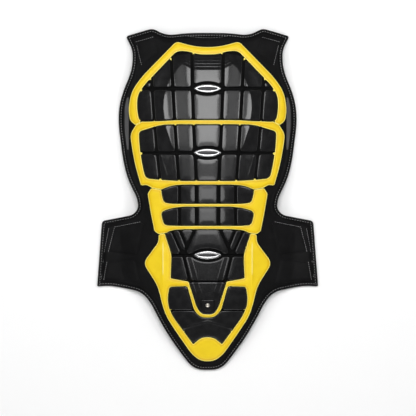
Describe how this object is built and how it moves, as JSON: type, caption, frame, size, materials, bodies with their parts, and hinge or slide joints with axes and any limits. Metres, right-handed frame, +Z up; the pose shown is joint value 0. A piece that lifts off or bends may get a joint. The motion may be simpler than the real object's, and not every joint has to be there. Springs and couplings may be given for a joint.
{
  "type": "back protector",
  "caption": "Full-length back protector: hard black plates in a yellow frame over an arched soft panel with shoulder tabs and waist wings, lying plates up.",
  "frame": {"origin": "centre of the bounding box, at the level of the surface that the protector lies on", "axes": "+X across the back to the right of the picture, +Y towards the neck, +Z up, out of the hard outer side"},
  "size_m": [0.39, 0.6005, 0.079],
  "materials": {
    "panel_fabric": "woven black nylon over foam",
    "binding_tape": "shiny black edge tape with light stitching",
    "side_band": "dull grey stretch band",
    "frame_yellow": "satin yellow moulding",
    "plate_black": "glossy black moulding",
    "badge_chrome": "polished",
    "badge_insert": "dark satin",
    "stud_metal": "satin"
  },
  "bodies": {
    "root": {"back_panel": "panel_fabric", "edge_binding": "binding_tape", "side_band_right": "side_band", "side_band_left": "side_band", "frame_upper": "frame_yellow", "frame_middle": "frame_yellow", "frame_lumbar": "frame_yellow", "frame_tail": "frame_yellow", "plate_1": "plate_black", "plate_2": "plate_black", "plate_3": "plate_black", "plate_4": "plate_black", "plate_5": "plate_black", "plate_6": "plate_black", "plate_7": "plate_black", "plate_8": "plate_black", "tongue_plate": "plate_black", "tail_plate_right": "plate_black", "tail_plate_left": "plate_black", "tail_plate_lower": "plate_black", "badge_ring_1": "badge_chrome", "badge_insert_1": "badge_insert", "badge_ring_2": "badge_chrome", "badge_insert_2": "badge_insert", "badge_ring_3": "badge_chrome", "badge_insert_3": "badge_insert", "tongue_label": "plate_black", "label_stud": "stud_metal"}
  },
  "joints": []
}
